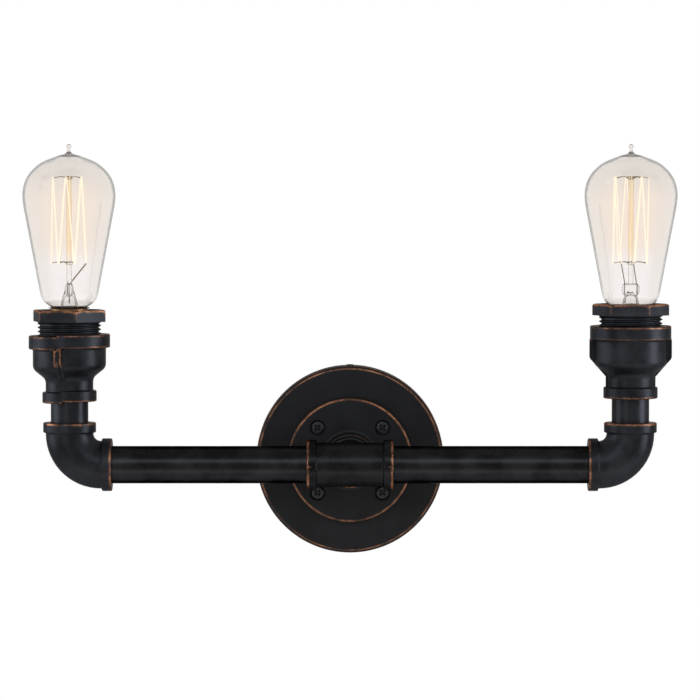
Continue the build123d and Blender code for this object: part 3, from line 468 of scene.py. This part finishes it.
class VANITY_OT_fittings(bpy.types.Operator):
    """Finishes the cast fittings, which are grainy and worn to copper along their bands"""

    bl_idname = "vanity.fittings"
    bl_label = "Cast Fittings"

    def execute(self, context):
        chosen = settings("patina")
        for side in SIDES:
            self.elbow(f"{side}_elbow", chosen.casting)
            self.bushing(f"{side}_bushing", chosen.casting)
        self.reducer("left_reducer", chosen.casting, 22.5 * MM, 1.0)
        self.reducer("right_reducer", chosen.casting, 11.0 * MM, 0.35)
        ends = beyond(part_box("tee")[1].x - 3.4 * MM)
        dark = [0.75 * part for part in chosen.pipe]
        bronze = patina(
            "tee bronze", dark, ends, wear=0.1, reach=2.0, patches=120.0, grain=0.7, gloss=0.27, metal=0.9,
            soft=1.2, rim=0.3,
        )
        dress(bronze, "tee")
        return {"FINISHED"}

    def elbow(self, name, dark):
        """Worn at the rims of both mouths."""
        low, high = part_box(name)
        inner = min(abs(low.x), abs(high.x))

        def mouths(net):
            near = net.math("ABSOLUTE", net.axes()["X"])
            side = within(net, near, inner - MM, inner + 2.4 * MM)
            return union(net, [side, heights((high.z - 2.4 * MM, high.z + MM))(net)])

        dress(patina(f"{name} bronze", dark, mouths, wear=0.1, reach=1.8, patches=80.0, soft=1.5), name)

    def bushing(self, name, dark):
        """Worn round the top of the hexagon and down its corners."""
        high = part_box(name)[1]
        rubbed = heights((high.z - 6.3 * MM, high.z + MM))
        dark = [1.45 * part for part in dark]
        bronze = patina(
            f"{name} bronze", dark, rubbed, wear=0.1, reach=1.8, patches=90.0, gloss=0.46, soft=0.4
        )
        dress(bronze, name)

    def reducer(self, name, dark, worn_down, below):
        """Worn at its foot and for some way down from its mouth, where less of the copper may show."""
        low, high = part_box(name)

        def bands(net):
            foot = heights((low.z - MM, low.z + 2.6 * MM))(net)
            mouth = heights((high.z - worn_down, high.z + MM))(net)
            fading = net.span(net.axes()["Z"], high.z - 7.0 * MM, high.z - 4.0 * MM, below, 1.0)
            return union(net, [foot, net.math("MULTIPLY", mouth, fading)])

        dress(patina(f"{name} bronze", dark, bands, reach=1.6, patches=70.0), name)


class VANITY_OT_pipes(bpy.types.Operator):
    """Finishes the pipes and nipples, which are smooth and satin"""

    bl_idname = "vanity.pipes"
    bl_label = "Pipes"

    def execute(self, context):
        chosen = settings("patina")
        level = patina("satin pipe", chosen.pipe, grain=0.12, fine=400.0, gloss=0.28, metal=1.0, rim=0.25)
        dress(level, "close_nipple", *both("arm_pipe"))
        upright = patina("satin nipple", chosen.casting, grain=0.12, fine=400.0, gloss=0.31)
        dress(upright, *both("riser"))
        return {"FINISHED"}


class VANITY_OT_wall_plate(bpy.types.Operator):
    """Finishes the wall plate, the flange, the strap and all their screws"""

    bl_idname = "vanity.wall_plate"
    bl_label = "Wall Plate"

    def execute(self, context):
        dark = settings("patina").pipe
        plate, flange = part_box("canopy")[1].x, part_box("floor_flange")[1].x
        # Copper rings on the plate: wear along its rims, brighter at the top and fainter at the foot as
        # painted highlight.
        worn = rings(
            (plate - 2.5 * MM, plate - 1.4 * MM, 0.85, 0.55), (plate - 0.5 * MM, plate + MM, 0.6, 0.4)
        )
        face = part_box("canopy")[0].y

        def rims(net):
            front = net.span(net.axes()["Y"], face + 3.2 * MM, face + 1.8 * MM)
            return net.math("MULTIPLY", worn(net), front)

        pressed = patina(
            "wall plate", dark, rims, wear=0.75, patches=60.0, grain=0.08, fine=300.0, gloss=0.44, metal=0.8,
            clouds=0.06,
        )
        dress(pressed, "canopy")
        # Copper rings on the flange: wear along its outer edge with painted highlight at its top; the ring
        # on the hub's edge is mostly a painted glint at its foot.
        edges = rings(
            (flange - 1.8 * MM, flange - 0.3 * MM, 1.0, 0.6),
            (HUB_RADIUS - 0.7 * MM, HUB_RADIUS + 0.2 * MM, 0.1, 0.7),
        )
        bronze = patina(
            "flange bronze", dark, edges, wear=0.8, patches=60.0, grain=0.5, fine=700.0, gloss=0.44,
            metal=0.8, clouds=0.1,
        )
        dress(bronze, "floor_flange")
        dress(blackened("black screw", dark), "flange_screws", "canopy_side_screws")
        dress(plain_metal("zinc plate", (0.55, 0.55, 0.54), 0.38), "mounting_strap", "flange_nuts")
        dress(moulded("green enamel", (0.02, 0.22, 0.06), 0.35), "ground_screw")
        return {"FINISHED"}


class VANITY_OT_lamp_holders(bpy.types.Operator):
    """Finishes the lamp holders hidden in the reducers"""

    bl_idname = "vanity.lamp_holders"
    bl_label = "Lamp Holders"

    def execute(self, context):
        stem = plain_metal("zinc stem", (0.52, 0.52, 0.5), 0.4)
        dress(stem, *both("socket_bracket", "lamp_pipe", "lamp_pipe_nut"))
        dress(moulded("porcelain", (0.78, 0.75, 0.68), 0.22), *both("socket_body"))
        dress(plain_metal("shell brass", (0.62, 0.42, 0.16), 0.3), *both("socket_shell", "socket_contact"))
        return {"FINISHED"}


class VANITY_OT_wiring(bpy.types.Operator):
    """Finishes the wires and their connectors"""

    bl_idname = "vanity.wiring"
    bl_label = "Wiring"

    def execute(self, context):
        dress(moulded("black insulation", (0.012, 0.012, 0.012), 0.5), *both("hot_wire"))
        dress(moulded("white insulation", (0.72, 0.71, 0.67), 0.5), *both("neutral_wire"))
        dress(moulded("connector shell", (0.62, 0.2, 0.02), 0.45), "wire_connectors")
        dress(plain_metal("bare copper", (0.62, 0.27, 0.13), 0.32), "ground_wire")
        return {"FINISHED"}


def clear_glass(name, roughness=0.0):
    material, net, shader = new_material(name)
    feed(net, shader, Roughness=roughness, IOR=1.5, Transmission_Weight=1.0)
    return material, net, shader


def blown_glass():
    """Thin tinted glass, with painted shade where the eye looks along its wall and the filament's glow
    painted round its middle.
    """
    chosen = settings("lamp")
    material, net, shader = clear_glass("blown glass")
    low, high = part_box("left_lamp_glass")
    height = net.axes()["Z"]
    # Painted glow: the height band round the filament where its light is painted into the glass's colour.
    painted_filament_glow = net.span(height, low.z + 30 * MM, low.z + 55 * MM)
    crown = net.span(height, high.z - 45 * MM, high.z - 14 * MM)
    lower = net.mix(painted_filament_glow, rgba(chosen.foot), rgba(chosen.painted_filament_glow))
    facing = net.add("ShaderNodeLayerWeight", {"Blend": 0.5}).outputs["Facing"]
    # Painted glow and shade: the peach tint holds where the glass faces the eye and turns greyer towards its
    # sides.
    seen = net.mix(net.span(facing, 0.08, 0.34), lower, rgba((0.925, 0.905, 0.88)))
    seen = net.mix(crown, seen, rgba(chosen.crown))
    # Painted shade: the glass's outline is painted dark where the eye looks along its wall, more so round
    # the tip.
    tip = net.span(height, high.z - 10 * MM, high.z - 8 * MM)
    side = net.math(
        "MULTIPLY", net.span(facing, 0.69, 0.81), net.span(height, low.z + 8 * MM, low.z + 20 * MM, 0.3, 1.0)
    )
    painted_limb_shade = union(net, [side, net.math("MULTIPLY", tip, net.span(facing, 0.2, 0.7))])
    feed(net, shader, Base_Color=net.mix(painted_limb_shade, seen, rgba(chosen.edge)))
    smoke = net.add("ShaderNodeVolumeAbsorption", {"Color": (0.50, 0.40, 0.30, 1.0), "Density": 50.0})
    output = next(n for n in net.tree.nodes if n.type == "OUTPUT_MATERIAL")
    net.put(output.inputs["Volume"], smoke.outputs["Volume"])
    return material


def stem_glass():
    """Clear at the foot, with the filament's light painted on above as a warm tint, and painted shade at its
    edges.
    """
    material, net, shader = clear_glass("stem glass", 0.02)
    low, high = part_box("left_lamp_stem")
    rise = high.z - low.z
    # Painted glow: the filament's light painted as a warm tint on the upper stem.
    warm = net.span(net.axes()["Z"], low.z + 0.30 * rise, low.z + 0.50 * rise)
    facing = net.add("ShaderNodeLayerWeight", {"Blend": 0.5}).outputs["Facing"]
    middle = net.mix(warm, rgba((0.97, 0.97, 0.96)), rgba((0.99, 0.90, 0.68)))
    # Painted shade: dark edges where the eye looks along the stem, warm-tinted above by the painted glow.
    edge = net.mix(warm, rgba((0.12, 0.11, 0.10)), rgba((0.45, 0.30, 0.13)))
    feed(net, shader, Base_Color=net.mix(net.span(facing, 0.25, 0.62), middle, edge))
    return material


def base_brass():
    """Dull brass, dark along the top of its rolled rim."""
    material, net, shader = new_material("base brass")
    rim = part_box("left_lamp_base")[1].z
    grain = net.noise(500.0)
    brass = net.mix(grain, rgba((0.22, 0.115, 0.055)), rgba((0.36, 0.19, 0.09)))
    dark_rim_band = net.span(net.axes()["Z"], rim - 1.4 * MM, rim - 0.6 * MM)
    feed(
        net, shader,
        Base_Color=net.mix(dark_rim_band, brass, rgba((0.03, 0.016, 0.009))),
        Roughness=net.span(grain, 0.3, 0.7, 0.36, 0.48), Metallic=1.0,
    )
    return material


def lit_filament():
    """A white-hot fine coil, its turns a little brighter than the gaps between them."""
    chosen = settings("lamp")
    material, net, shader = new_material("lit filament")
    turns = net.math("SINE", net.math("MULTIPLY", net.axes()["Z"], 2 * math.pi / (0.45 * MM)))
    glow = net.mix(net.span(turns, -1.0, 1.0), rgba(chosen.glow, 0.8), rgba(chosen.glow, 1.0))
    feed(
        net, shader,
        Base_Color=rgba((0.4, 0.25, 0.1)), Roughness=0.5,
        Emission_Color=glow, Emission_Strength=chosen.strength,
        Normal=net.bump(turns, 0.05 * MM),
    )
    return material


def coiled_filament(side, material):
    """The filament at the width of its fine coil, along the wire that carries it."""
    node = f"{side}_lamp_filament"
    thicken = (settings("lamp").strand - FILAMENT_WIRE) / 2
    mesh = NODES[node].data.copy()
    mesh.name = f"{side}_filament_coil"
    outward = [vertex.normal.copy() for vertex in mesh.vertices]
    for vertex, normal in zip(mesh.vertices, outward):
        vertex.co += thicken * normal
    mesh.materials.clear()
    mesh.materials.append(material)
    coil = bpy.data.objects.new(mesh.name, mesh)
    bpy.context.scene.collection.objects.link(coil)
    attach(coil, f"{side}_lamp")
    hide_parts(node)


class VANITY_OT_lamps(bpy.types.Operator):
    """Finishes the lamps: glass, glowing filament, its mount and the screw base"""

    bl_idname = "vanity.lamps"
    bl_label = "Lamps"

    def execute(self, context):
        dress(blown_glass(), *both("lamp_glass"))
        dress(stem_glass(), *both("lamp_stem"))
        filament = lit_filament()
        dress(filament, *both("lamp_filament"))
        for side in SIDES:
            coiled_filament(side, filament)
        dress(plain_metal("support wire", (0.32, 0.26, 0.18), 0.4), *both("lamp_supports", "lamp_leads"))
        dress(base_brass(), *both("lamp_base"))
        dress(plain_metal("solder", (0.5, 0.5, 0.5), 0.5), *both("lamp_contact"))
        dress(moulded("black glass", (0.012, 0.012, 0.014), 0.15), *both("lamp_insulator"))
        return {"FINISHED"}


def pale_room():
    """A dim even room before a white backdrop, which is pure white wherever it is seen."""
    world = bpy.data.worlds.new("pale room")
    world.use_nodes = True
    net = Net(world.node_tree)
    background = next(n for n in net.tree.nodes if n.type == "BACKGROUND")
    path = net.add("ShaderNodeLightPath").outputs
    way = net.add("ShaderNodeTexCoord").outputs["Generated"]
    behind = net.span(net.add("ShaderNodeSeparateXYZ", {"Vector": way}).outputs["Y"], -0.4, 0.5, 0.0, 0.6)
    mirrored = net.math("MULTIPLY", path["Is Glossy Ray"], behind)
    seen = union(net, [path["Is Camera Ray"], path["Is Transmission Ray"], mirrored])
    net.put(background.inputs["Strength"], net.span(seen, 0.0, 1.0, settings("stage").sky, 1.0))
    background.inputs["Color"].default_value = (1, 1, 1, 1)
    bpy.context.scene.world = world


def softbox(name, aim, around, above, away, size, tint, level):
    """A soft lamp that looks at the aim from an angle round it, an angle above it, and a distance."""
    lamp = bpy.data.lights.new(name, "AREA")
    lamp.shape = "RECTANGLE"
    lamp.size, lamp.size_y = size
    lamp.energy = level * settings("stage").softbox * math.pi * size[0] * size[1]
    lamp.color = tint
    holder = bpy.data.objects.new(name, lamp)
    around, above = math.radians(around), math.radians(above)
    back = Vector((math.sin(around) * math.cos(above), -math.cos(around) * math.cos(above), math.sin(above)))
    holder.location = aim + away * back
    holder.rotation_mode = "QUATERNION"
    holder.rotation_quaternion = back.to_track_quat("Z", "Y")
    holder.visible_camera = False
    bpy.context.scene.collection.objects.link(holder)


class VANITY_OT_stage(bpy.types.Operator):
    """Places the floor, the soft lamps and the camera"""

    bl_idname = "vanity.stage"
    bl_label = "Stage"

    def execute(self, context):
        chosen = settings("stage")
        context.scene.view_settings.view_transform = "Standard"
        pale_room()
        pipe = middle_of("left_arm_pipe")
        aim = Vector((0.0, pipe.y, pipe.z + chosen.aim))
        cool, warm = (0.88, 0.94, 1.0), (1.0, 0.86, 0.70)
        for name, around, above, away, size, tint, level in (
            ("upper softbox", 0, 25, 2.4, (2.4, 0.75), cool, 0.85),
            ("left softbox", -92, 4, 1.6, (1.2, 1.3), cool, 1.1),
            ("right softbox", 76, 4, 1.6, (0.7, 1.3), cool, 2.3),
            ("front softbox", -26, 4, 1.6, (0.3, 1.1), cool, 0.8),
            ("low softbox", 0, -44, 0.7, (1.6, 0.16), warm, 0.40),
        ):
            softbox(name, aim, around, above, away, size, tint, level)
        self.floor(CAD_BOX[0].z - chosen.drop)
        self.flag_glass(context.scene)
        self.camera(context.scene, aim, chosen)
        return {"FINISHED"}

    def floor(self, height):
        """A pale round floor whose edge fades out."""
        reach, sides = 2.2, 96
        turns = [2 * math.pi * side / sides for side in range(sides)]
        corners = [(reach * math.cos(turn), reach * math.sin(turn), height) for turn in turns]
        mesh = bpy.data.meshes.new("floor")
        mesh.from_pydata(corners, [], [range(sides)])
        material, net, shader = new_material("pale floor")
        out = net.axes()
        squares = net.math("ADD", net.math("POWER", out["X"], 2.0), net.math("POWER", out["Y"], 2.0))
        fade = net.span(net.math("SQRT", squares), 0.35 * reach, 0.95 * reach, 1.0, 0.0)
        feed(net, shader, Base_Color=rgba((0.93, 0.93, 0.93)), Roughness=0.9, Alpha=fade)
        mesh.materials.append(material)
        floor = bpy.data.objects.new("floor", mesh)
        bpy.context.scene.collection.objects.link(floor)
        return floor

    def flag_glass(self, scene):
        """Keeps the soft lamps off the glass, so that no stripes of light stand in it."""
        lit = bpy.data.collections.new("lit by the soft lamps")
        glass = [NODES[name] for name in both("lamp_glass", "lamp_stem")]
        for each in scene.objects:
            if each.type == "MESH" and each not in glass:
                lit.objects.link(each)
        for each in scene.objects:
            if each.type == "LIGHT":
                each.light_linking.receiver_collection = lit

    def camera(self, scene, aim, chosen):
        data = bpy.data.cameras.new("camera")
        data.sensor_width = 36.0
        data.lens = data.sensor_width * chosen.distance / chosen.width
        data.clip_end = 100.0
        camera = bpy.data.objects.new("camera", data)
        back = Vector((0.0, -math.cos(chosen.elevation), math.sin(chosen.elevation)))
        camera.location = aim + chosen.distance * back
        camera.rotation_mode = "QUATERNION"
        camera.rotation_quaternion = back.to_track_quat("Z", "Y")
        scene.collection.objects.link(camera)
        scene.camera = camera


OPERATORS = (
    VANITY_OT_fittings, VANITY_OT_pipes, VANITY_OT_wall_plate, VANITY_OT_lamp_holders, VANITY_OT_wiring,
    VANITY_OT_lamps, VANITY_OT_stage,
)
SETTINGS = {"patina": PatinaSettings, "lamp": LampSettings, "stage": StageSettings}


class VANITY_PT_panel(bpy.types.Panel):
    """Lists the steps and the values that they use"""

    bl_idname = "VANITY_PT_panel"
    bl_label = "Vanity Light"
    bl_space_type = "VIEW_3D"
    bl_region_type = "UI"
    bl_category = "Vanity Light"

    def draw(self, context):
        for group, kind in SETTINGS.items():
            box = self.layout.box()
            box.label(text=group.capitalize())
            for name in kind.__annotations__:
                box.prop(settings(group), name)
        for operator in OPERATORS:
            self.layout.operator(operator.bl_idname)


def register():
    for group, kind in SETTINGS.items():
        bpy.utils.register_class(kind)
        setattr(bpy.types.Scene, f"vanity_{group}", bpy.props.PointerProperty(type=kind))
    for kind in (*OPERATORS, VANITY_PT_panel):
        bpy.utils.register_class(kind)


def unregister():
    for kind in reversed((*OPERATORS, VANITY_PT_panel)):
        bpy.utils.unregister_class(kind)
    for group, kind in SETTINGS.items():
        delattr(bpy.types.Scene, f"vanity_{group}")
        bpy.utils.unregister_class(kind)


def main():
    register()
    for operator in OPERATORS:
        getattr(bpy.ops.vanity, operator.bl_idname.split(".")[1])()


if __name__ == "__main__":
    main()
